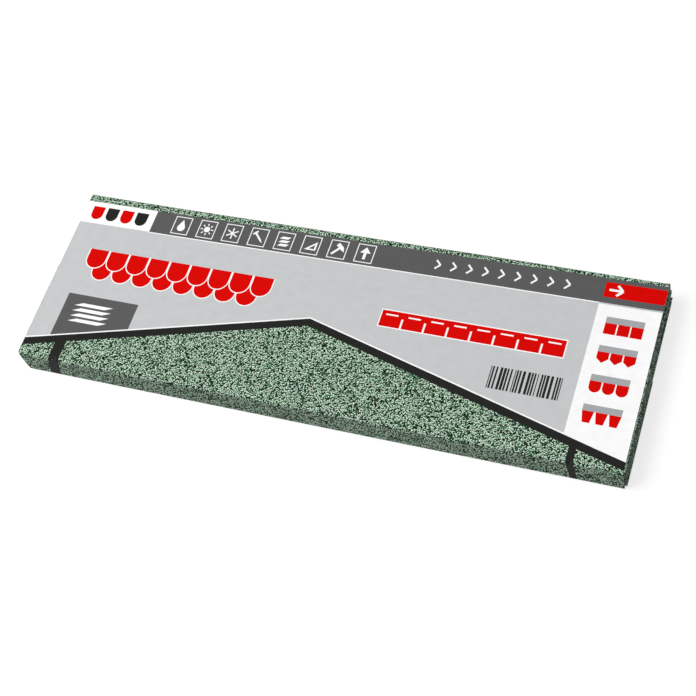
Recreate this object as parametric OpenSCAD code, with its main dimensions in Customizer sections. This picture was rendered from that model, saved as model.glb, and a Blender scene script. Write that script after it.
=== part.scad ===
// Bundle of bitumen roof shingles: a stack of three-tab strips in a printed wrapper.
// X runs along the strips, Y from the front of the bundle to the back, Z up.
// The origin is on the floor, under the middle of the bundle. All sizes are in millimetres.

/* [Shingle strip] */
// Length of one strip
strip_length = 1000; // [600:10:1200]
// Depth of one strip, from the tab edge to the head edge
strip_depth = 317; // [280:1:340]
// Thickness of one strip, with its granules
strip_thickness = 3.4; // [2.5:0.1:5]
// Number of tabs along one strip
tab_count = 3; // [2:1:6]
// Length of a tab, which is the part that shows on a roof
tab_depth = 145; // [100:1:150]
// Width of the slot between two tabs
slot_width = 8; // [4:1:12]

/* [Sealing line] */
// Height of a dash of sealing bitumen on the strip's face
seal_height = 0.4; // [0.2:0.1:0.8]
// Width of the sealing line
seal_width = 12; // [6:1:20]
// Length of one dash
seal_dash = 45; // [20:5:60]
// Number of dashes along one strip
seal_count = 14; // [6:1:14]

/* [Stack] */
// Number of strips in the bundle
strip_count = 14; // [6:1:30]
// How far a strip may sit out of line at the ends of the stack
end_jog = 1.6; // [0:0.1:3]
// How far a strip may sit out of line at the front and the back
edge_jog = 2.2; // [0:0.1:2.2]

/* [Wrapper] */
// Length of the wrapper, which leaves the ends of the stack open
wrapper_length = 996; // [500:1:1000]
// Thickness of the wrapper sheet
sheet = 0.4; // [0.3:0.1:0.5]
// Slack between the stack and the wrapper at the front and the back
side_slack = 2.6; // [2.6:0.1:4]
// Slack between the stack and the top of the wrapper
top_slack = 1.0; // [1:0.1:2]
// Outside radius of the wrapper's two upper bends
upper_bend = 6; // [4:0.5:6]
// Outside radius of the wrapper's two lower bends
lower_bend = 2.8; // [1.5:0.1:2.8]
// Width of the glued lap under the bundle
lap_width = 60; // [20:5:120]

/* [Hidden] */
$fn = 48;
strip_pitch = strip_thickness + seal_height;
stack_foot = 2 * sheet;
bundle_height = stack_foot + strip_count * strip_pitch + top_slack + sheet;
half_depth = strip_depth / 2 + side_slack + sheet;
tab_length = strip_length / tab_count;
slot_end = slot_width / 2;
seal_pitch = strip_length / seal_count;
seal_gap_above_slot = 6;
seal_place = -strip_depth / 2 + tab_depth + seal_gap_above_slot + seal_width / 2;
end_jog_waves = 4;
edge_jog_waves = 5;

shingle_colour = "#5f7d67";
wrapper_colour = "#c7c9ca";

function shingle_name(i) = str("shingle_", i < 10 ? "0" : "", i);

// How far strip i sits out of line. The bottom and the top strip sit true.
function jog(i, most, waves) = most * sin(360 * waves * (i - 1) / (strip_count - 1));

// One slot, open at the tab edge and round at its inner end.
module slot() {
    translate([-slot_width / 2, -strip_depth / 2 - slot_end])
        square([slot_width, tab_depth]);
    translate([0, -strip_depth / 2 + tab_depth - slot_end])
        circle(d = slot_width);
}

// The flat outline of one strip. Half a slot is cut from each end,
// so that two strips laid end to end make a whole one.
module strip_outline() {
    difference() {
        square([strip_length, strip_depth], center = true);
        for (k = [0:tab_count])
            translate([-strip_length / 2 + k * tab_length, 0])
                slot();
    }
}

// The dashes of sealing bitumen along the strip's face, above the slots.
module sealing_line() {
    for (k = [0:seal_count - 1])
        translate([-strip_length / 2 + (k + 0.5) * seal_pitch, seal_place])
            square([seal_dash, seal_width], center = true);
}

// Strip i of the stack, counted from the bottom. Every second strip is turned end for end.
module shingle(i) {
    color(shingle_colour)
        translate([jog(i, end_jog, end_jog_waves), jog(i, edge_jog, edge_jog_waves),
                   stack_foot + (i - 1) * strip_pitch])
            rotate([0, 0, i % 2 == 0 ? 180 : 0])
                union() {
                    linear_extrude(strip_thickness)
                        strip_outline();
                    translate([0, 0, strip_thickness])
                        linear_extrude(seal_height)
                            sealing_line();
                }
}

// The wrapper's section filled in, with its underside at a given height,
// drawn smaller all round by an inset.
module filled_section(foot, inset) {
    low = foot + inset;
    high = bundle_height - inset;
    side = half_depth - inset;
    upper = upper_bend - inset;
    lower = lower_bend - inset;
    middle = bundle_height / 2;
    translate([-side, low + lower])
        square([2 * side, high - upper - low - lower]);
    translate([-side + upper, middle])
        square([2 * (side - upper), high - middle]);
    translate([-side + lower, low])
        square([2 * (side - lower), middle - low]);
    for (s = [-1, 1]) {
        translate([s * (side - upper), high - upper])
            circle(r = upper);
        translate([s * (side - lower), low + lower])
            circle(r = lower);
    }
}

// The sheet as a closed band with its underside at a given height.
module band(foot) {
    difference() {
        filled_section(foot, 0);
        filled_section(foot, sheet);
    }
}

// The part of the section on one side of the bundle, -1 for the front and 1 for the back.
// Under the bundle it reaches past the middle by half the lap.
module one_side(side) {
    reach = lap_width / 2;
    middle = bundle_height / 2;
    translate([side > 0 ? 0 : -half_depth, middle])
        square([half_depth, middle]);
    translate([side > 0 ? -reach : -half_depth, 0])
        square([half_depth + reach, middle]);
}

// The wrapper: one printed sheet taken round the stack, with its back edge glued
// under its front edge. Both ends are open.
module wrapper() {
    color(wrapper_colour)
        translate([-wrapper_length / 2, 0, 0])
            rotate([90, 0, 90])
                linear_extrude(wrapper_length)
                    union() {
                        intersection() {
                            band(sheet);
                            one_side(-1);
                        }
                        intersection() {
                            band(0);
                            one_side(1);
                        }
                    }
}

for (i = [1:strip_count])
    shingle(i);
wrapper();
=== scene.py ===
import math

import bmesh
import bpy
from mathutils import Matrix, Vector, geometry, kdtree, noise


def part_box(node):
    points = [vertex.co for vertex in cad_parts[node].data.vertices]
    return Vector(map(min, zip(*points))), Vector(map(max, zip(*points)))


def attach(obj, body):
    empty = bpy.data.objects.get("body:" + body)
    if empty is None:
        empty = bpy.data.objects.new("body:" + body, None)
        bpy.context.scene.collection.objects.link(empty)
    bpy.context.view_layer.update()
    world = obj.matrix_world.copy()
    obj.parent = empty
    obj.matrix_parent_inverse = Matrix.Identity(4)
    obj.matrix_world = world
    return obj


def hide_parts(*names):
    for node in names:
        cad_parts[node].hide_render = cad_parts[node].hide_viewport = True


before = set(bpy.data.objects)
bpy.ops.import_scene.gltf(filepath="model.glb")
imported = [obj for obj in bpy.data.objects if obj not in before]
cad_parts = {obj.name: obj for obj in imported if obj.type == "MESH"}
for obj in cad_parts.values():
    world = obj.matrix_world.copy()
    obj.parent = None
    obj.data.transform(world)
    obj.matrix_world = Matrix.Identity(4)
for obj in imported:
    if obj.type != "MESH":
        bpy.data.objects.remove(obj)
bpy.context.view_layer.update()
scene = bpy.context.scene


# Shingle strips
# A strip is a glass mat soaked in bitumen, with green mineral granules rolled into its face and fine sand
# under it. It is die-cut, so its edges are bare bitumen with the mat showing, dusted with granules.

MM = 0.001
strips = [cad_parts[name] for name in sorted(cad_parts) if name.startswith("shingle")]
stack_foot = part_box("shingle_01")[0].z
strip_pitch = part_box("shingle_02")[0].z - stack_foot
sand_height = 0.3 * MM
mat_height = 1.7 * MM
mat_half = 0.45 * MM
mat_core = 0.1 * MM
granule_foot = 2.6 * MM
foot_wander = 1.4 * MM
granule_width = 1.3 * MM
dusted_share = 0.2


def srgb(red, green, blue):
    """A colour of a picture, 0 to 255, as the linear colour that a shader takes."""
    linear = [c / 12.92 if c <= 0.04045 else ((c + 0.055) / 1.055) ** 2.4
              for c in (red / 255, green / 255, blue / 255)]
    return (*linear, 1.0)


def add(tree, kind, inputs, **options):
    """Adds a node, sets its options, and sets its inputs or links them to other nodes' outputs."""
    made = tree.nodes.new(kind)
    for name, value in options.items():
        setattr(made, name, value)
    for name, value in inputs.items():
        if isinstance(value, bpy.types.NodeSocket):
            tree.links.new(value, made.inputs[name])
        else:
            made.inputs[name].default_value = value
    return made


def math_node(tree, operation, *values):
    """The result of a Math node."""
    return add(tree, "ShaderNodeMath", dict(enumerate(values)), operation=operation).outputs[0]


def fade(tree, value, low, high):
    """0 below low and 1 above high, and smooth between them."""
    return add(tree, "ShaderNodeMapRange", {"Value": value, "From Min": low, "From Max": high},
               interpolation_type="SMOOTHSTEP").outputs["Result"]


def mixed(tree, factor, first, second):
    """The second colour over the first, as far as the factor says."""
    return add(tree, "ShaderNodeMix", {"Factor": factor, 6: first, 7: second},
               data_type="RGBA").outputs[2]


def ramp(tree, factor, stops):
    """A colour ramp with the given (place, colour) stops."""
    made = add(tree, "ShaderNodeValToRGB", {"Fac": factor})
    elements = made.color_ramp.elements
    while len(elements) < len(stops):
        elements.new(1.0)
    for element, (place, colour) in zip(elements, stops):
        element.position = place
        element.color = colour
    return made.outputs["Color"]


def new_material(name):
    """A material with an empty node tree."""
    material = bpy.data.materials.new(name)
    material.use_nodes = True
    material.node_tree.nodes.clear()
    return material


def surface(material, inputs, height, depth):
    """Ends a material in a Principled shader, with bumps of the given depth where the height is 1."""
    tree = material.node_tree
    shader = add(tree, "ShaderNodeBsdfPrincipled", inputs)
    bump = add(tree, "ShaderNodeBump", {"Height": height, "Strength": 1.0, "Distance": depth})
    tree.links.new(bump.outputs["Normal"], shader.inputs["Normal"])
    add(tree, "ShaderNodeOutputMaterial", {"Surface": shader.outputs["BSDF"]})


granule_tones = [
    (0.00, srgb(10, 18, 13)),
    (0.44, srgb(32, 52, 38)),
    (0.57, srgb(112, 152, 120)),
    (0.72, srgb(206, 242, 214)),
    (1.00, srgb(244, 255, 246)),
]
bitumen_tones = [(0.3, srgb(30, 30, 29)), (0.7, srgb(72, 72, 69))]
mat_colour = srgb(128, 120, 102)
sand_edge = srgb(96, 94, 90)
sand_face = srgb(74, 73, 70)


def strip_material():
    """Granules on the face, and on the cut edges bitumen, the mat's pale line and the granules' ends."""
    material = new_material("bitumen_strip")
    tree = material.node_tree
    place = add(tree, "ShaderNodeTexCoord", {}).outputs["Object"]
    normal = add(tree, "ShaderNodeNewGeometry", {}).outputs["Normal"]
    up = add(tree, "ShaderNodeSeparateXYZ", {0: normal}).outputs["Z"]
    level = add(tree, "ShaderNodeSeparateXYZ", {0: place}).outputs["Z"]
    level = math_node(tree, "SUBTRACT", level, stack_foot)
    level = math_node(tree, "FLOORED_MODULO", level, strip_pitch)
    grains = add(tree, "ShaderNodeTexVoronoi", {"Vector": place, "Scale": 1 / granule_width})
    tone = add(tree, "ShaderNodeSeparateXYZ", {0: grains.outputs["Color"]}).outputs["X"]
    granules = ramp(tree, tone, granule_tones)
    smear = add(tree, "ShaderNodeTexNoise", {"Vector": place, "Scale": 420.0, "Detail": 4.0}).outputs["Fac"]
    bitumen = ramp(tree, smear, bitumen_tones)
    stretch = add(tree, "ShaderNodeMapping", {"Vector": place, "Scale": (1500, 220, 2600)}).outputs[0]
    fibres = add(tree, "ShaderNodeTexNoise", {"Vector": stretch, "Scale": 1.0, "Detail": 3.0})
    in_mat = math_node(tree, "SUBTRACT", level, mat_height)
    in_mat = math_node(tree, "ABSOLUTE", in_mat)
    in_mat = fade(tree, in_mat, mat_half, mat_core)
    in_mat = math_node(tree, "MULTIPLY", in_mat, fade(tree, fibres.outputs["Fac"], 0.45, 0.65))
    edge = mixed(tree, in_mat, bitumen, mat_colour)
    in_sand = fade(tree, level, sand_height, 0.6 * sand_height)
    edge = mixed(tree, in_sand, edge, sand_edge)
    wander = math_node(tree, "MULTIPLY_ADD", smear, foot_wander, granule_foot - foot_wander / 2)
    in_granules = math_node(tree, "GREATER_THAN", level, wander)
    dusting = add(tree, "ShaderNodeSeparateXYZ", {0: grains.outputs["Color"]}).outputs["Y"]
    dusted = math_node(tree, "GREATER_THAN", dusting, 1 - dusted_share)
    in_granules = math_node(tree, "MAXIMUM", in_granules, dusted)
    edge = mixed(tree, in_granules, edge, granules)
    colour = mixed(tree, fade(tree, up, 0.4, 0.6), edge, granules)
    colour = mixed(tree, fade(tree, up, -0.4, -0.6), colour, sand_face)
    height = math_node(tree, "SUBTRACT", smear, grains.outputs["Distance"])
    surface(material, {"Base Color": colour, "Roughness": 0.82, "Specular IOR Level": 0.3},
            height, depth=0.35 * MM)
    return material


bitumen_strip = strip_material()
for strip in strips:
    strip.data.materials.clear()
    strip.data.materials.append(bitumen_strip)


# Granules at the cut ends
# Crushed slate of about a millimetre, ceramic-coated green. The rolls press it into the hot bitumen, so it
# shows as a layer along the top of each strip's cut end, and a little of it is smeared over the rest.

ledge_depth = 4.6 * MM
strip_half = max(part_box("shingle_01")[1].x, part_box("shingle_14")[1].x)
weld_gap = 0.001 * MM
ray_lift = 0.05 * MM
smallest_stone = (0.55, 0.55, 0.45)
largest_stone = (1.25, 1.05, 0.85)
full_turn = 6.28
grit_colour = srgb(60, 74, 62)


def end_slices():
    """The last few millimetres of every strip at both ends, in one mesh."""
    ends = bmesh.new()
    for strip in strips:
        for side in (-1, 1):
            piece = bmesh.new()
            piece.from_mesh(strip.data)
            bmesh.ops.remove_doubles(piece, verts=piece.verts, dist=weld_gap)
            everything = piece.verts[:] + piece.edges[:] + piece.faces[:]
            cut = Vector((side * (strip_half - ledge_depth), 0, 0))
            bmesh.ops.bisect_plane(piece, geom=everything, plane_co=cut, plane_no=(side, 0, 0),
                                   clear_inner=True)
            kept = bpy.data.meshes.new("slice")
            piece.to_mesh(kept)
            piece.free()
            ends.from_mesh(kept)
            bpy.data.meshes.remove(kept)
    mesh = bpy.data.meshes.new("granules")
    ends.to_mesh(mesh)
    ends.free()
    return mesh


def granule_material():
    """Ceramic-coated slate: each granule has a tone of its own."""
    material = new_material("granule")
    tree = material.node_tree
    tone = add(tree, "ShaderNodeAttribute", {}, attribute_name="tone").outputs["Fac"]
    place = add(tree, "ShaderNodeTexCoord", {}).outputs["Object"]
    grit = add(tree, "ShaderNodeTexNoise", {"Vector": place, "Scale": 2600.0, "Detail": 3.0}).outputs["Fac"]
    colour = ramp(tree, tone, granule_tones)
    colour = mixed(tree, fade(tree, grit, 0.5, 0.75), colour, grit_colour)
    surface(material, {"Base Color": colour, "Roughness": 0.7, "Specular IOR Level": 0.35},
            grit, depth=0.1 * MM)
    return material


def granule_tree():
    """Scatters angular stones over the strips' ends: thickly on the granule layers, thinly elsewhere, and
    not where another strip lies on top."""
    tree = bpy.data.node_groups.new("scattered_granules", "GeometryNodeTree")
    tree.interface.new_socket("Surface", in_out="INPUT", socket_type="NodeSocketGeometry")
    for name, kind in (("Density", "NodeSocketFloat"), ("Granule width", "NodeSocketFloat"),
                       ("Stack foot", "NodeSocketFloat"), ("Strip pitch", "NodeSocketFloat"),
                       ("Layer foot", "NodeSocketFloat"), ("Dusting", "NodeSocketFloat"),
                       ("Strip above", "NodeSocketFloat"), ("Seed", "NodeSocketInt"),
                       ("Granule", "NodeSocketMaterial")):
        tree.interface.new_socket(name, in_out="INPUT", socket_type=kind)
    tree.interface.new_socket("Granules", in_out="OUTPUT", socket_type="NodeSocketGeometry")
    given = tree.nodes.new("NodeGroupInput").outputs
    normal = add(tree, "GeometryNodeInputNormal", {}).outputs[0]
    up = add(tree, "ShaderNodeSeparateXYZ", {0: normal}).outputs["Z"]
    shown = add(tree, "FunctionNodeCompare", {0: up, 1: -0.5}, operation="GREATER_THAN").outputs[0]
    points = add(tree, "GeometryNodeDistributePointsOnFaces",
                 {"Mesh": given["Surface"], "Selection": shown, "Density": given["Density"],
                  "Seed": given["Seed"]})
    lying = add(tree, "ShaderNodeSeparateXYZ", {0: points.outputs["Normal"]}).outputs["Z"]
    lying = add(tree, "FunctionNodeCompare", {0: lying, 1: 0.5}, operation="GREATER_THAN").outputs[0]
    here = add(tree, "GeometryNodeInputPosition", {}).outputs[0]
    start = add(tree, "ShaderNodeVectorMath", {0: here, 1: (0, 0, ray_lift)}, operation="ADD").outputs[0]
    above = add(tree, "GeometryNodeRaycast",
                {"Target Geometry": given["Surface"], "Source Position": start,
                 "Ray Direction": (0, 0, 1), "Ray Length": given["Strip above"]})
    covered = add(tree, "FunctionNodeBooleanMath", {0: lying, 1: above.outputs["Is Hit"]},
                  operation="AND").outputs[0]
    level = add(tree, "ShaderNodeSeparateXYZ", {0: here}).outputs["Z"]
    level = math_node(tree, "SUBTRACT", level, given["Stack foot"])
    level = math_node(tree, "FLOORED_MODULO", level, given["Strip pitch"])
    below = add(tree, "FunctionNodeCompare", {0: level, 1: given["Layer foot"]},
                operation="LESS_THAN").outputs[0]
    chance = add(tree, "FunctionNodeRandomValue", {2: 0.0, 3: 1.0, "Seed": 13},
                 data_type="FLOAT").outputs[1]
    clean = add(tree, "FunctionNodeCompare", {0: chance, 1: given["Dusting"]},
                operation="GREATER_THAN").outputs[0]
    clean = add(tree, "FunctionNodeBooleanMath", {0: below, 1: clean}, operation="AND").outputs[0]
    dropped = add(tree, "FunctionNodeBooleanMath", {0: covered, 1: clean}, operation="OR").outputs[0]
    kept = add(tree, "GeometryNodeDeleteGeometry",
               {"Geometry": points.outputs["Points"], "Selection": dropped})
    stone = add(tree, "GeometryNodeMeshUVSphere", {"Segments": 4, "Rings": 2, "Radius": 0.5})
    turn = add(tree, "FunctionNodeRandomValue", {0: (0, 0, 0), 1: (full_turn,) * 3, "Seed": 3},
               data_type="FLOAT_VECTOR").outputs[0]
    size = add(tree, "FunctionNodeRandomValue", {0: smallest_stone, 1: largest_stone, "Seed": 5},
               data_type="FLOAT_VECTOR").outputs[0]
    size = add(tree, "ShaderNodeVectorMath", {0: size, "Scale": given["Granule width"]}, operation="SCALE")
    stones = add(tree, "GeometryNodeInstanceOnPoints",
                 {"Points": kept.outputs[0], "Instance": stone.outputs["Mesh"], "Rotation": turn,
                  "Scale": size.outputs[0]})
    tone = add(tree, "FunctionNodeRandomValue", {2: 0.0, 3: 1.0, "Seed": 7}, data_type="FLOAT").outputs[1]
    stones = add(tree, "GeometryNodeStoreNamedAttribute",
                 {"Geometry": stones.outputs[0], "Name": "tone", "Value": tone},
                 data_type="FLOAT", domain="INSTANCE")
    stones = add(tree, "GeometryNodeRealizeInstances", {"Geometry": stones.outputs[0]})
    stones = add(tree, "GeometryNodeSetMaterial",
                 {"Geometry": stones.outputs[0], "Material": given["Granule"]})
    add(tree, "NodeGroupOutput", {"Granules": stones.outputs[0]})
    return tree


def grown(name, mesh, tree, values):
    """Runs a tree on a mesh with its named inputs set, and returns the result as a plain piece."""
    source = bpy.data.objects.new(name, mesh)
    scene.collection.objects.link(source)
    modifier = source.modifiers.new(name, "NODES")
    modifier.node_group = tree
    for item in tree.interface.items_tree:
        if item.in_out == "INPUT" and item.name in values:
            modifier[item.identifier] = values[item.name]
    graph = bpy.context.evaluated_depsgraph_get()
    made = bpy.data.meshes.new_from_object(source.evaluated_get(graph), depsgraph=graph)
    source.modifiers.remove(modifier)
    source.data = made
    return source


def map_stones(mesh):
    """Gives each stone a square of the OFBake map to itself, with its upper point in the middle of the
    square and its lower point at the four corners."""
    girdle = [(1.0, 0.5), (0.5, 1.0), (0.0, 0.5), (0.5, 0.0)]
    corners = [(1.0, 1.0), (0.0, 1.0), (0.0, 0.0), (1.0, 0.0)]
    margin = 0.06
    one_stone = []
    for k in range(4):
        one_stone += [(0.5, 0.5), girdle[k], girdle[(k + 1) % 4]]
    for k in range(4):
        one_stone += [corners[k], girdle[(k + 1) % 4], girdle[k]]
    stones = len(mesh.loops) // len(one_stone)
    squares = math.ceil(math.sqrt(stones))
    places = []
    for stone in range(stones):
        row, column = divmod(stone, squares)
        for u, v in one_stone:
            places.append((column + margin + (1 - 2 * margin) * u) / squares)
            places.append((row + margin + (1 - 2 * margin) * v) / squares)
    mesh.uv_layers.new(name="OFBake").data.foreach_set("uv", places)


granules = grown("end_granules", end_slices(), granule_tree(), {
    "Density": 9e5,
    "Granule width": granule_width,
    "Stack foot": stack_foot,
    "Strip pitch": strip_pitch,
    "Layer foot": granule_foot,
    "Dusting": 0.1,
    "Strip above": 2 * MM,
    "Seed": 11,
    "Granule": granule_material(),
})
map_stones(granules.data)
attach(granules, "root")


# Wrapper sheet
# One printed sheet, taken round the stack and glued in a lap underneath, with both ends left open.
# The outside carries a picture of the granules, a label panel and a roof line, printed in one pass.

sheet_thickness = 0.4 * MM
upper_bend = 6.0 * MM
lower_bend = 2.8 * MM
lap_width = 60.0 * MM
wrapper_low, wrapper_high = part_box("wrapper")
sheet_length = wrapper_high.x - wrapper_low.x
half_depth = wrapper_high.y
wrapper_top = wrapper_high.z


def straight(length, start, heading):
    """A straight run of the sheet's outside, as (length, a function of the way along it)."""
    normal = Vector((-heading.y, heading.x))
    return length, lambda way: (start + heading * way, normal, heading)


def bend(radius, centre, angle):
    """A quarter bend that turns clockwise from an angle, seen from the end of the bundle."""
    def at(way):
        here = math.radians(angle) - way / radius
        normal = Vector((math.cos(here), math.sin(here)))
        return centre + normal * radius, normal, Vector((normal.y, -normal.x))
    return radius * math.pi / 2, at


to_front, to_back = Vector((-1, 0)), Vector((1, 0))
upward, downward = Vector((0, 1)), Vector((0, -1))
side_foot = sheet_thickness + lower_bend
girth = [
    straight(lap_width / 2 + half_depth - lower_bend, Vector((lap_width / 2, sheet_thickness)), to_front),
    bend(lower_bend, Vector((lower_bend - half_depth, side_foot)), 270),
    straight(wrapper_top - upper_bend - side_foot, Vector((-half_depth, side_foot)), upward),
    bend(upper_bend, Vector((upper_bend - half_depth, wrapper_top - upper_bend)), 180),
    straight(2 * (half_depth - upper_bend), Vector((upper_bend - half_depth, wrapper_top)), to_back),
    bend(upper_bend, Vector((half_depth - upper_bend, wrapper_top - upper_bend)), 90),
    straight(wrapper_top - upper_bend - lower_bend, Vector((half_depth, wrapper_top - upper_bend)),
             downward),
    bend(lower_bend, Vector((half_depth - lower_bend, lower_bend)), 0),
    straight(half_depth - lower_bend + lap_width / 2, Vector((half_depth - lower_bend, 0)), to_front),
]
run_starts = [sum(length for length, _ in girth[:k]) for k in range(len(girth) + 1)]
sheet_girth = run_starts[-1]
front_edge = (run_starts[3] + run_starts[4]) / 2
back_edge = (run_starts[5] + run_starts[6]) / 2
top_width = (back_edge - front_edge) / MM
front_height = (front_edge - run_starts[2]) / MM
print_length = sheet_length / MM


def on_girth(way):
    """The place, the outward normal and the heading of the sheet at a way round the bundle."""
    run = 0
    while run < len(girth) - 1 and way > run_starts[run + 1]:
        run += 1
    return girth[run][1](way - run_starts[run])


def eased(value, low, high):
    """0 below low and 1 above high, and smooth between them."""
    t = min(max((value - low) / (high - low), 0), 1)
    return t * t * (3 - 2 * t)


slack_ease = 8 * MM
flare_reach = 11 * MM
long_wave, short_wave, deepest_wave = 0.45, 0.2, -0.3
flare_mean, flare_spread = 0.5, 0.6


def stand_off(x, way):
    """How far the sheet stands off its stretched path: slack waves, and a slight flare at the open ends."""
    loose = eased(way, run_starts[2], run_starts[2] + slack_ease)
    loose *= 1 - eased(way, run_starts[7] - slack_ease, run_starts[7])
    waves = long_wave * noise.noise(Vector((5 * x, 9 * way, 1.7)))
    waves += short_wave * noise.noise(Vector((16 * x, 23 * way, 4.1)))
    to_end = sheet_length / 2 - abs(x)
    flare = flare_mean + flare_spread * noise.noise(Vector((x, 31 * way, 8.3)))
    flare = math.exp(-to_end / flare_reach) * flare
    return loose * (max(waves, deepest_wave) + flare) * MM


# The printing, in millimetres: along the sheet from its left end, and across it from the front edge of
# the top, over the top to the back and, below zero, down the front.

inks = {
    "picture": srgb(110, 132, 113),
    "grey": srgb(199, 201, 202),
    "charcoal": srgb(92, 92, 93),
    "white": srgb(254, 254, 254),
    "red": srgb(217, 6, 2),
    "black": srgb(37, 38, 36),
    "silver": srgb(168, 171, 173),
}
picture_grain = 2.4 * MM
side_stretch = 1.4
printed = []


def lay(ink, outline):
    """Prints an outline in an ink, over what is printed before it. Outlines run anticlockwise."""
    turn = sum(a[0] * b[1] - b[0] * a[1] for a, b in zip(outline, outline[1:] + outline[:1]))
    printed.append((ink, outline if turn > 0 else outline[::-1]))


def block(ink, x, y, width, height):
    """A rectangle from its lower left corner."""
    lay(ink, [(x, y), (x + width, y), (x + width, y + height), (x, y + height)])


def bar(ink, start, end, width):
    """A thick line."""
    run = Vector(end) - Vector(start)
    aside = Vector((-run.y, run.x)).normalized() * width / 2
    lay(ink, [tuple(Vector(start) - aside), tuple(Vector(end) - aside),
              tuple(Vector(end) + aside), tuple(Vector(start) + aside)])


def disc(ink, x, y, radius, sides=24):
    """A round dot."""
    turns = [2 * math.pi * k / sides for k in range(sides)]
    lay(ink, [(x + radius * math.cos(a), y + radius * math.sin(a)) for a in turns])


def tab(ink, x, y, width, height, tip):
    """A shingle tab that hangs from y, with a square, pointed, slanted or round lower end."""
    if tip == "square":
        block(ink, x, y - height, width, height)
    elif tip == "pointed":
        lay(ink, [(x, y), (x, y - 0.6 * height), (x + width / 2, y - height), (x + width, y - 0.6 * height),
                  (x + width, y)])
    elif tip == "slanted":
        lay(ink, [(x, y), (x + 0.2 * width, y - height), (x + 0.8 * width, y - height), (x + width, y)])
    else:
        radius = width / 2
        turns = [math.pi * (1 + k / 10) for k in range(11)]
        lay(ink, [(x + width, y), (x, y)]
            + [(x + radius * (1 + math.cos(a)), y - height + radius * (1 + math.sin(a))) for a in turns])


roof_line = [Vector((0.0, 28.0)), Vector((465.0, 154.5)), Vector((print_length, 16.0))]
stripe_width = 13.4
hairline = 2.4
header_left, header_right = (263.0, 306.0), (269.5, 313.5)
badge_width = 133.0
side_panel = 900.0
dark_block, dark_top = (41, 171), 124
wall_tuck = 4


def roof(along):
    """The upper edge of the roof line."""
    left, apex, right = roof_line
    start, end = (left, apex) if along < apex.x else (apex, right)
    return start.lerp(end, (along - start.x) / (end.x - start.x)).y


def over_roof(start, end):
    """The places where an edge that follows the roof line from start to end needs a point."""
    apex = roof_line[1].x
    return [start, apex, end] if start < apex < end else [start, end]


def roof_band(ink, upper, lower, start=0.0, end=print_length):
    """A band along the roof line, from upper to lower millimetres above its upper edge."""
    places = over_roof(start, end)
    lay(ink, [(x, roof(x) + lower) for x in places] + [(x, roof(x) + upper) for x in reversed(places)])


def in_header(along, share):
    """A place in the header, from 0 at its foot to 1 at its upper edge. It runs slightly out of line."""
    foot, top = Vector(header_left).lerp(Vector(header_right), along / print_length)
    return along, foot + share * (top - foot)


def header(ink, start, end, low=0.0, high=1.0):
    """A field of the header."""
    lay(ink, [in_header(start, low), in_header(end, low), in_header(end, high), in_header(start, high)])


def panel(ink, start, end, high=None):
    """A field that stands on the roof line and reaches the header, or a height of its own."""
    upper = [in_header(end, 0), in_header(start, 0)] if high is None else [(end, high), (start, high)]
    lay(ink, [(x, roof(x)) for x in over_roof(start, end)] + upper)


sheet_foot = -front_edge / MM
under_margin = 14.0
front_foot = (run_starts[1] - front_edge) / MM - under_margin
back_foot = (run_starts[8] - front_edge) / MM + under_margin

# The plain fields, each over the one before: picture, bare underside, panels, header, dark block and roof
# line, with an upright down the front near each of its ends.
block("picture", 0, sheet_foot, print_length, sheet_girth / MM)
block("grey", 0, sheet_foot, print_length, front_foot - sheet_foot)
block("grey", 0, back_foot, print_length, sheet_foot + sheet_girth / MM - back_foot)
panel("grey", 0, print_length)
panel("white", side_panel, print_length)
header("charcoal", badge_width, print_length)
header("white", 0, badge_width)
header("white", badge_width, side_panel, low=-0.04, high=0)
header("grey", side_panel, print_length, low=-0.06, high=0)
header("red", side_panel + 3, print_length, low=0.24, high=0.84)
panel("charcoal", *dark_block, high=dark_top)
roof_band("white", hairline, 0, 0, side_panel)
roof_band("black", 0, -stripe_width)
for wall, wall_width, foot_shift in ((65.5, 19, -18), (918, 11.5, 4)):
    left, right = wall - wall_width / 2, wall + wall_width / 2
    wall_foot = -front_height - wall_tuck
    wall_top = roof(wall) - stripe_width / 2
    lay("black", [(left + foot_shift, wall_foot), (right + foot_shift, wall_foot), (right, 0),
                  (right, wall_top), (left, wall_top), (left, 0)])


tab_rim = 1.8


def rimmed_tab(x, y, width, height):
    """A round red tab with a white rim."""
    tab("white", x - tab_rim, y, width + 2 * tab_rim, height + tab_rim, "round")
    tab("red", x, y, width, height, "round")


# Two courses of round tabs, the upper one laid over the lower one.
course_left, course_top, course_drop = 44, 214, 21
tab_pitch, tab_width, tab_length = 38, 34.4, 36
for course, count in ((1, 8), (0, 9)):
    for k in range(count):
        rimmed_tab(course_left + tab_pitch * (k + 0.5 * course), course_top - course_drop * course,
                   tab_width, tab_length)

# A strip drawn flat, with its slots and its dashed sealing line.
strip_left, strip_top, strip_tab = 576.0, 193.0, 37.0
slot_width, head_height, tab_height = 3.0, 12.0, 17.0
dash_inset, dash_drop, dash_width, dash_height = 7, 8.5, 20, 2.6
strip_width = 8 * strip_tab - slot_width
block("white", strip_left - tab_rim, strip_top - head_height,
      strip_width + 2 * tab_rim, head_height + tab_rim)
for k in range(8):
    block("white", strip_left + strip_tab * k - tab_rim, strip_top - head_height - tab_height - tab_rim,
          strip_tab - slot_width + 2 * tab_rim, tab_height + tab_rim)
block("red", strip_left, strip_top - head_height, strip_width, head_height)
for k in range(8):
    left = strip_left + strip_tab * k
    block("red", left, strip_top - head_height - tab_height, strip_tab - slot_width, tab_height + 1)
    block("white", left + dash_inset, strip_top - dash_drop, dash_width, dash_height)

# Round tabs in the white corner, in red and black by turns.
for k, ink in enumerate(("red", "black", "red", "black")):
    left, top = in_header(14 + 28 * k, 0.8)
    tab(ink, left, top, 22, 26, "round")

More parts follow.
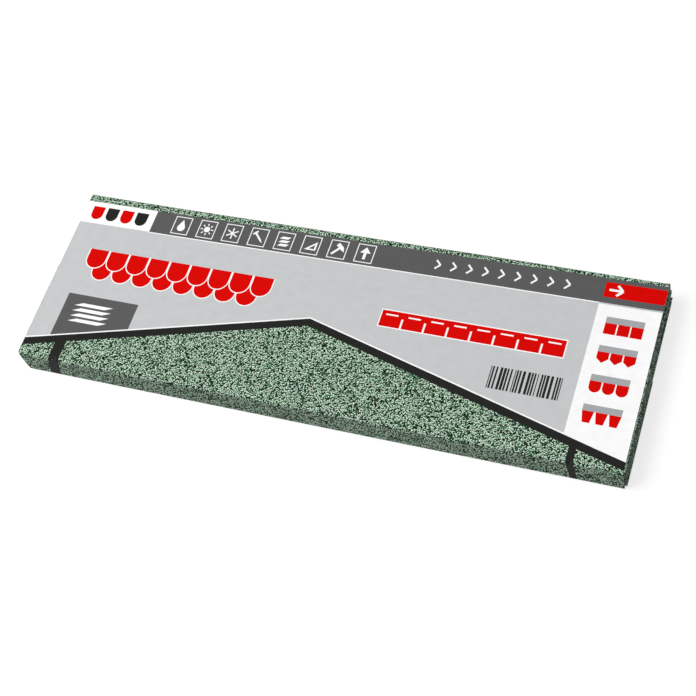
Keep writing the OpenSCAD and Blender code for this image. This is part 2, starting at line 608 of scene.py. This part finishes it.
# Strips with four kinds of tab in the white side panel.
sample_left, sample_top, sample_pitch = side_panel + 17, 235, 50
for k, tip in enumerate(("square", "pointed", "round", "slanted")):
    top = sample_top - sample_pitch * k
    block("silver", sample_left, top, 58, 11)
    for n in range(3):
        tab("red", sample_left + 20 * n, top, 18, 19, tip)

# An arrow in the red block, and chevrons that lead to it.
left, middle = in_header(side_panel + 10.0, 0.54)
bar("white", (left, middle), (left + 19, middle), 4)
for side in (-1, 1):
    bar("white", (left + 12, middle + 9 * side), (left + 21, middle), 4)
chevron_left, chevron_pitch, chevron_size = 634.0, 26, 8
for k in range(9):
    left, middle = in_header(chevron_left + chevron_pitch * k, 0.5)
    for side in (-1, 1):
        bar("white", (left, middle + chevron_size * side), (left + chevron_size, middle), 3)

# A pile of strips in the dark block.
for k in range(4):
    foot = 73 + 10 * k
    lay("white", [(60, foot), (116, foot), (130, foot + 6), (74, foot + 6)])


def symbol_cell(x):
    """The middle of an outlined cell of the header, for one symbol."""
    width, height, line = 31.0, 35.0, 1.5
    _, middle = in_header(x, 0.5)
    block("white", x - width / 2, middle - height / 2, width, height)
    block("charcoal", x - width / 2 + line, middle - height / 2 + line, width - 2 * line, height - 2 * line)
    return x, middle


def drop(x, y):
    """Rain: a drop."""
    disc("white", x, y - 4, 7)
    lay("white", [(x - 6.4, y - 1.5), (x + 6.4, y - 1.5), (x, y + 12)])


def sun(x, y):
    """Sun, with eight rays."""
    disc("white", x, y, 5.5)
    for k in range(8):
        ray = Vector((math.cos(k * math.pi / 4), math.sin(k * math.pi / 4)))
        bar("white", (x + 7.5 * ray.x, y + 7.5 * ray.y), (x + 11.5 * ray.x, y + 11.5 * ray.y), 2)


def snow(x, y):
    """Snow: a star of three bars."""
    for k in range(3):
        ray = 11 * Vector((math.cos(k * math.pi / 3 + 0.52), math.sin(k * math.pi / 3 + 0.52)))
        bar("white", (x - ray.x, y - ray.y), (x + ray.x, y + ray.y), 2.2)


def nail(x, y):
    """A nail that leans, with its head up."""
    bar("white", (x - 10.5, y + 4.5), (x - 3.5, y + 11.5), 3.2)
    bar("white", (x - 7, y + 8), (x + 5, y - 5), 3.2)
    lay("white", [(x + 3.8, y - 6.1), (x + 9.5, y - 10), (x + 6.2, y - 3.9)])


def layers(x, y):
    """Three layers, one over another."""
    for k in range(3):
        foot = y - 10 + 7 * k
        lay("white", [(x - 10, foot), (x + 5, foot), (x + 10, foot + 4.6), (x - 5, foot + 4.6)])


def pitch(x, y):
    """The pitch of a roof: a set square."""
    lay("white", [(x - 10, y - 9), (x + 10, y - 9), (x + 10, y + 8)])
    lay("charcoal", [(x - 2.4, y - 6.4), (x + 7.2, y - 6.4), (x + 7.2, y + 2)])


def hammer(x, y):
    """A hammer with a claw."""
    bar("white", (x - 9, y - 10), (x + 4, y + 5), 3.8)
    bar("white", (x - 2.5, y + 10.5), (x + 7, y + 2.5), 6.5)
    lay("white", [(x + 4.9, y), (x + 9.1, y + 5), (x + 11, y - 4)])


def lift_arrow(x, y):
    """This way up."""
    block("white", x - 2.4, y - 11, 4.8, 12)
    lay("white", [(x - 9, y + 1), (x + 9, y + 1), (x, y + 12)])


# Weather and tools, each in a cell of its own.
cell_left, cell_pitch = 186, 47.0
for k, symbol in enumerate((drop, sun, snow, nail, layers, pitch, hammer, lift_arrow)):
    symbol(*symbol_cell(cell_left + cell_pitch * k))

# Bars of varied width, which encode nothing.
bar_left, bar_foot, bar_height = 769.0, 92, 38
for k in range(22):
    bar_width = 1.4 + 1.3 * (k * k % 7 % 3)
    block("black", bar_left, bar_foot, bar_width, bar_height)
    bar_left += bar_width + 1.4 + 1.2 * (k * 5 % 4 % 3)


def lattice_lines(stops, spacing):
    """Places between the stops, no further apart than the spacing."""
    lines = [round(stops[0], 2)]
    for low, high in zip(stops, stops[1:]):
        steps = max(1, math.ceil((high - low) / spacing(low, high) - 1e-6))
        lines += [round(low + (high - low) * (k + 1) / steps, 2) for k in range(steps)]
    return lines


def row_spacing(low, high):
    """Close lines on a bend, and wider ones on a flat run."""
    return 1.6 if high - low < 12 else 7.0


columns = lattice_lines([0.0, print_length], lambda low, high: 8.0)
rows = lattice_lines([sheet_foot + start / MM for start in run_starts], row_spacing)
least_gap = 0.1
inner_gap = 1.2


def crossed(start, end):
    """The points that cut an outline's side wherever it crosses the lattice, so that it can be rolled."""
    run = Vector(end) - Vector(start)
    apart = least_gap / run.length
    ways = []
    for axis, lines in ((0, columns), (1, rows)):
        if abs(run[axis]) > least_gap:
            ways += [(line - start[axis]) / run[axis] for line in lines]
    kept = [0.0]
    for way in sorted(ways):
        if kept[-1] + apart < way < 1 - apart:
            kept.append(way)
    return [tuple(Vector(start) + way * run) for way in kept]


def flat_sheet():
    """The printed sheet laid flat: its points, its triangles and the ink on each. Outlines share points."""
    shared, faces = {}, []
    for _, outline in printed:
        sides = zip(outline, outline[1:] + outline[:1])
        cut = [point for start, end in sides for point in crossed(start, end)]
        faces.append([shared.setdefault((round(x, 2), round(y, 2)), len(shared)) for x, y in cut])
    points = list(shared)
    tree = kdtree.KDTree(len(points))
    for k, point in enumerate(points):
        tree.insert((*point, 0), k)
    tree.balance()
    inner = [(x, y) for x in columns for y in rows if tree.find((x, y, 0))[2] > inner_gap]
    places = [Vector(point) for point in points + inner]
    made = geometry.delaunay_2d_cdt(places, [], faces, 0, 0.1 * least_gap, True)
    return made[0], made[2], [printed[max(found)][0] for found in made[5]]


def rolled(point):
    """The outside place and normal of a flat point, once the sheet is round the stack."""
    x = wrapper_low.x + point.x * MM
    way = min(max(front_edge + point.y * MM, 0), sheet_girth)
    place, normal, heading = on_girth(way)
    step = 0.5 * MM
    off = stand_off(x, way)
    along_slope = (stand_off(x + step, way) - off) / step
    across_slope = (stand_off(x, way + step) - off) / step
    outward = Vector((-along_slope, *(normal - across_slope * heading))).normalized()
    return Vector((x, *(place + off * normal))), outward


def picture_across(across):
    """Where a place across the sheet is in the granule picture, whose stones are taller on the sides."""
    on_top = min(max(across, 0), top_width)
    return on_top + (across - on_top) / side_stretch


bare_share = 0.2
outside_end = 0.94
inside_start = 0.95


def map_across(across):
    """Where a place across the sheet is in the OFBake map, where the bare underside gets little room."""
    printed_way = min(max(across, front_foot), back_foot) - front_foot
    return printed_way + bare_share * (across - sheet_foot - printed_way)


def wrapper_mesh():
    """The sheet rolled round the stack, printed side out, with its inside and its cut edges."""
    flat, triangles, on_face = flat_sheet()
    outside = [rolled(point) for point in flat]
    count = len(flat)
    points = [place for place, _ in outside] + [place - sheet_thickness * out for place, out in outside]
    edges = [edge for a, b, c in triangles for edge in ((a, b), (b, c), (c, a))]
    paired = set(edges)
    rim = [(b, a, a + count, b + count) for a, b in edges if (b, a) not in paired]
    inner = [(c + count, b + count, a + count) for a, b, c in triangles]
    faces = [tuple(corners) for corners in triangles] + inner + rim
    mesh = bpy.data.meshes.new("wrapper_sheet")
    mesh.from_pydata(points, [], faces)
    face_inks = [inks[ink] for ink in on_face] + [inks["white"]] * (len(faces) - len(triangles))
    pictures = [float(ink == "picture") for ink in on_face] + [0.0] * (len(faces) - len(triangles))
    mesh.attributes.new("ink", "FLOAT_COLOR", "CORNER")
    mesh.attributes.new("picture", "FLOAT", "CORNER")
    mesh.uv_layers.new(name="flat")
    mesh.uv_layers.new(name="OFBake")
    ink_colour, picture = mesh.attributes["ink"], mesh.attributes["picture"]
    flat_map, bake_map = mesh.uv_layers["flat"], mesh.uv_layers["OFBake"]
    map_height = map_across(sheet_foot + sheet_girth / MM)
    normals = []
    for polygon in mesh.polygons:
        inside = polygon.index >= len(triangles)
        on_rim = polygon.index >= 2 * len(triangles)
        polygon.use_smooth = True
        for loop in polygon.loop_indices:
            vertex = mesh.loops[loop].vertex_index
            point = flat[vertex % count]
            ink_colour.data[loop].color = face_inks[polygon.index]
            picture.data[loop].value = pictures[polygon.index]
            flat_map.data[loop].uv = (point.x * MM, picture_across(point.y) * MM)
            share = map_across(point.y) / map_height
            across = inside_start + (1 - inside_start) * share if inside else outside_end * share
            bake_map.data[loop].uv = (point.x / print_length, across)
            out = outside[vertex % count][1]
            normals.append(polygon.normal if on_rim else -out if inside else out)
    mesh.normals_split_custom_set(normals)
    mesh.validate()
    return mesh


picture_tones = [
    (0.00, srgb(6, 14, 8)),
    (0.27, srgb(98, 150, 108)),
    (0.44, srgb(206, 250, 212)),
    (1.00, srgb(238, 255, 239)),
]
picture_gap = srgb(8, 15, 10)
stone_rim = (0.04, 0.1)
shade_side = (0.75, 0.25, 0.5)
shade_start, shade_end = -0.085 * picture_grain, 0.015 * picture_grain
shade_level = 0.02
least_ink, mottle_share, fibre_share, streak_share = 0.71, 0.14, 0.28, 0.16
bare_paper = srgb(214, 213, 208)
most_rubbed = 0.45


def print_material():
    """Matt printed paper: flat inks, and a picture of granules where the mesh says so. The stones of the
    picture have a tone and a shaded side each, and the print is a little rubbed on the bends."""
    material = new_material("printed_wrapper")
    tree = material.node_tree
    flat = add(tree, "ShaderNodeUVMap", {}, uv_map="flat").outputs["UV"]
    ink = add(tree, "ShaderNodeAttribute", {}, attribute_name="ink").outputs["Color"]
    in_picture = add(tree, "ShaderNodeAttribute", {}, attribute_name="picture").outputs["Fac"]
    grain = {"Vector": flat, "Scale": 1 / picture_grain}
    stones = add(tree, "ShaderNodeTexVoronoi", grain, voronoi_dimensions="2D")
    tone = add(tree, "ShaderNodeSeparateXYZ", {0: stones.outputs["Color"]}).outputs["X"]
    border = add(tree, "ShaderNodeTexVoronoi", grain, voronoi_dimensions="2D", feature="DISTANCE_TO_EDGE")
    in_stone = fade(tree, border.outputs["Distance"], *stone_rim)
    from_middle = add(tree, "ShaderNodeVectorMath", {0: flat, 1: stones.outputs["Position"]},
                      operation="SUBTRACT")
    facing = add(tree, "ShaderNodeVectorMath", {0: stones.outputs["Color"], 1: shade_side},
                 operation="SUBTRACT")
    turned = add(tree, "ShaderNodeVectorMath", {0: from_middle.outputs[0], 1: facing.outputs[0]},
                 operation="DOT_PRODUCT").outputs["Value"]
    lit = fade(tree, turned, shade_start, shade_end)
    lit = math_node(tree, "MULTIPLY_ADD", lit, 1 - shade_level, shade_level)
    stone = ramp(tree, tone, picture_tones)
    stone = add(tree, "ShaderNodeVectorMath", {0: stone, "Scale": lit}, operation="SCALE").outputs[0]
    picture = mixed(tree, in_stone, picture_gap, stone)
    colour = mixed(tree, in_picture, ink, picture)
    mottle = add(tree, "ShaderNodeTexNoise", {"Vector": flat, "Scale": 60.0, "Detail": 5.0}).outputs["Fac"]
    fibre = add(tree, "ShaderNodeTexNoise", {"Vector": flat, "Scale": 1400.0, "Detail": 3.0}).outputs["Fac"]
    run = add(tree, "ShaderNodeMapping", {"Vector": flat, "Scale": (25, 800, 1)}).outputs[0]
    streak = add(tree, "ShaderNodeTexNoise", {"Vector": run, "Scale": 1.0, "Detail": 4.0}).outputs["Fac"]
    shift = math_node(tree, "MULTIPLY_ADD", mottle, mottle_share, least_ink)
    shift = math_node(tree, "MULTIPLY_ADD", fibre, fibre_share, shift)
    shift = math_node(tree, "MULTIPLY_ADD", streak, streak_share, shift)
    colour = add(tree, "ShaderNodeVectorMath", {0: colour, "Scale": shift}, operation="SCALE").outputs[0]
    normal = add(tree, "ShaderNodeNewGeometry", {}).outputs["Normal"]
    up = add(tree, "ShaderNodeSeparateXYZ", {0: normal}).outputs["Z"]
    on_bend = math_node(tree, "MULTIPLY", fade(tree, up, 0.15, 0.5), fade(tree, up, 0.99, 0.9))
    scuffs = add(tree, "ShaderNodeTexNoise",
                 {"Vector": flat, "Scale": 330.0, "Detail": 6.0, "Roughness": 0.7}).outputs["Fac"]
    rubbed = math_node(tree, "MULTIPLY", fade(tree, scuffs, 0.55, 0.7), on_bend)
    rubbed = math_node(tree, "MULTIPLY", rubbed, most_rubbed)
    colour = mixed(tree, rubbed, colour, bare_paper)
    rough = math_node(tree, "MULTIPLY_ADD", fibre, 0.16, 0.4)
    surface(material, {"Base Color": colour, "Roughness": rough, "Specular IOR Level": 0.03},
            fibre, depth=0.03 * MM)
    return material


wrapper = bpy.data.objects.new("wrapper_sheet", wrapper_mesh())
scene.collection.objects.link(wrapper)
wrapper.data.materials.append(print_material())
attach(wrapper, "root")
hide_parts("wrapper")


# Floor
# A plain pale studio floor that the bundle lies on. It belongs to the stage and is far wider than the view,
# so that it has no edge in the picture.

floor_half = 12.0
floor_level = -0.2 * MM
floor_grey = (0.3, 0.3, 0.3, 1.0)
glow_near, glow_far = 0.9, 2.4
least_glow = 0.75


def to_camera(tree):
    """1 for the rays that the camera sees, straight or by a reflection, and 0 for those that only light."""
    path = add(tree, "ShaderNodeLightPath", {}).outputs
    seen = math_node(tree, "MAXIMUM", path["Is Camera Ray"], path["Is Glossy Ray"])
    return math_node(tree, "MAXIMUM", seen, path["Is Transmission Ray"])


def floor_material():
    """White to the camera, with the bundle's shadow, and pale to the bundle. Far off, where the lamp's
    light falls away, it glows a little more."""
    material = new_material("floor")
    tree = material.node_tree
    seen = to_camera(tree)
    matte = add(tree, "ShaderNodeBsdfDiffuse", {"Color": floor_grey}).outputs[0]
    place = add(tree, "ShaderNodeTexCoord", {}).outputs["Object"]
    away = add(tree, "ShaderNodeVectorMath", {0: place}, operation="LENGTH").outputs["Value"]
    strength = fade(tree, away, glow_near, glow_far)
    strength = math_node(tree, "MULTIPLY_ADD", strength, 1 - least_glow, least_glow)
    glow = add(tree, "ShaderNodeEmission", {"Color": (1, 1, 1, 1), "Strength": strength}).outputs[0]
    both = add(tree, "ShaderNodeAddShader", {0: matte, 1: glow}).outputs[0]
    mix = add(tree, "ShaderNodeMixShader", {0: seen, 1: matte, 2: both}).outputs[0]
    add(tree, "ShaderNodeOutputMaterial", {"Surface": mix})
    return material


floor_mesh = bpy.data.meshes.new("floor")
floor_mesh.from_pydata([(x * floor_half, y * floor_half, floor_level)
                        for x, y in ((-1, -1), (1, -1), (1, 1), (-1, 1))], [], [(0, 1, 2, 3)])
floor_mesh.materials.append(floor_material())
floor = bpy.data.objects.new("floor", floor_mesh)
scene.collection.objects.link(floor)


# Light
# A pale room and one large soft box, high up and far off at the front left, so that the top is lit evenly,
# the front is in half shade and the right end in more.

def softbox(name, place, aim, size, power):
    """A square area lamp that points at a place."""
    data = bpy.data.lights.new(name, "AREA")
    data.size = size
    data.energy = power
    lamp = bpy.data.objects.new(name, data)
    lamp.location = place
    lamp.rotation_euler = (Vector(aim) - Vector(place)).to_track_quat("-Z", "Y").to_euler()
    scene.collection.objects.link(lamp)


softbox("soft_box", place=(-3.4, -1.9, 7.2), aim=(0, 0, 0), size=4.0, power=512)
room_light = (0.36, 0.36, 0.36, 1.0)
room_seen = (1.0, 1.0, 1.0, 1.0)
world = bpy.data.worlds.new("room")
world.use_nodes = True
world.node_tree.nodes.clear()
glow = mixed(world.node_tree, to_camera(world.node_tree), room_light, room_seen)
room = add(world.node_tree, "ShaderNodeBackground", {"Color": glow, "Strength": 1.0})
add(world.node_tree, "ShaderNodeOutputWorld", {"Surface": room.outputs[0]})
scene.world = world
scene.view_settings.view_transform = "Standard"


# Camera
# It looks down on the bundle from the front right, turned about its own axis as the picture is.

azimuth = math.radians(37.2)
elevation = math.radians(57.6)
roll = math.radians(-22.3)
distance = 2.2146
aim = Vector((0.0333, -0.0308, wrapper_top / 2))
camera_data = bpy.data.cameras.new("camera")
camera_data.sensor_width = 36.0
camera_data.lens = 72.94
camera = bpy.data.objects.new("camera", camera_data)
back = Vector((math.sin(azimuth) * math.cos(elevation), -math.cos(azimuth) * math.cos(elevation),
               math.sin(elevation)))
turn = (Matrix.Rotation(azimuth, 4, "Z") @ Matrix.Rotation(math.pi / 2 - elevation, 4, "X")
        @ Matrix.Rotation(roll, 4, "Z"))
camera.matrix_world = Matrix.Translation(aim + back * distance) @ turn
scene.collection.objects.link(camera)
scene.camera = camera
